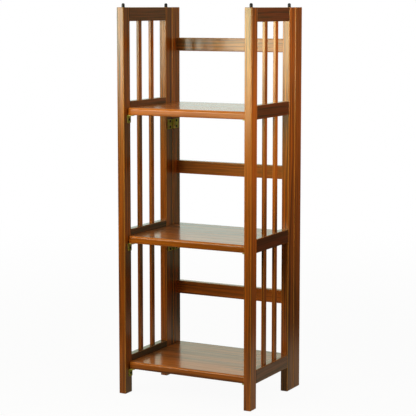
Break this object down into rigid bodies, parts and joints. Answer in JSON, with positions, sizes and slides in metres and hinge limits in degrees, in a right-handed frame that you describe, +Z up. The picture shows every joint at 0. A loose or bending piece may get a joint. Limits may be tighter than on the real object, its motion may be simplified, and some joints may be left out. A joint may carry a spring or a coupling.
{
  "type": "folding bookstand rack",
  "caption": "Tall narrow wooden bookstand rack: slatted side frames hinged to a back frame, with shelves that fold up into its recess and pins for stacking.",
  "frame": {"origin": "on the floor, under the middle of the rack's width and depth", "axes": "+Z up, +Y towards the back frame, +X to the right as seen from the front"},
  "size_m": [0.368, 0.285, 0.975],
  "materials": {
    "wood": "glossy lacquer",
    "shelf_wood": "glossy lacquer",
    "zinc": "yellow-passivated zinc",
    "steel": "satin",
    "black_plastic": "satin"
  },
  "bodies": {
    "root": {"back_bottom_rail": "wood", "back_middle_rail": "wood", "back_top_rail": "wood", "left_bottom_front_slat": "wood", "left_bottom_hinge_post_leaf": "zinc", "left_bottom_hinge_stile_leaf": "zinc", "left_bottom_rail": "wood", "left_bottom_rear_slat": "wood", "left_bottom_shelf_lug": "zinc", "left_crown_rail": "wood", "left_front_post": "wood", "left_front_stacking_pin": "black_plastic", "left_middle_front_slat": "wood", "left_middle_hinge_post_leaf": "zinc", "left_middle_hinge_stile_leaf": "zinc", "left_middle_rail": "wood", "left_middle_rear_slat": "wood", "left_middle_shelf_lug": "zinc", "left_rear_post": "wood", "left_rear_stacking_pin": "black_plastic", "left_stile": "wood", "left_top_front_slat": "wood", "left_top_hinge_post_leaf": "zinc", "left_top_hinge_stile_leaf": "zinc", "left_top_rail": "wood", "left_top_rear_slat": "wood", "left_top_shelf_lug": "zinc", "right_bottom_front_slat": "wood", "right_bottom_hinge_post_leaf": "zinc", "right_bottom_hinge_stile_leaf": "zinc", "right_bottom_rail": "wood", "right_bottom_rear_slat": "wood", "right_bottom_shelf_lug": "zinc", "right_crown_rail": "wood", "right_front_post": "wood", "right_front_stacking_pin": "black_plastic", "right_middle_front_slat": "wood", "right_middle_hinge_post_leaf": "zinc", "right_middle_hinge_stile_leaf": "zinc", "right_middle_rail": "wood", "right_middle_rear_slat": "wood", "right_middle_shelf_lug": "zinc", "right_rear_post": "wood", "right_rear_stacking_pin": "black_plastic", "right_stile": "wood", "right_top_front_slat": "wood", "right_top_hinge_post_leaf": "zinc", "right_top_hinge_stile_leaf": "zinc", "right_top_rail": "wood", "right_top_rear_slat": "wood", "right_top_shelf_lug": "zinc"},
    "shelf_bottom": {"bottom_shelf": "shelf_wood", "left_bottom_shelf_pivot_pin": "steel", "right_bottom_shelf_pivot_pin": "steel"},
    "shelf_middle": {"left_middle_shelf_pivot_pin": "steel", "middle_shelf": "shelf_wood", "right_middle_shelf_pivot_pin": "steel"},
    "shelf_top": {"left_top_shelf_pivot_pin": "steel", "right_top_shelf_pivot_pin": "steel", "top_shelf": "shelf_wood"}
  },
  "joints": [
    {"name": "fold_up_bottom", "type": "hinge", "parent": "root", "child": "shelf_bottom", "pos_m": [0, 0.11365, 0.07025], "axis": [-1, 0, 0], "range_deg": [0, 90]},
    {"name": "fold_up_middle", "type": "hinge", "parent": "root", "child": "shelf_middle", "pos_m": [0, 0.11365, 0.39025], "axis": [-1, 0, 0], "range_deg": [0, 90]},
    {"name": "fold_up_top", "type": "hinge", "parent": "root", "child": "shelf_top", "pos_m": [0, 0.11365, 0.71025], "axis": [-1, 0, 0], "range_deg": [0, 90]}
  ]
}
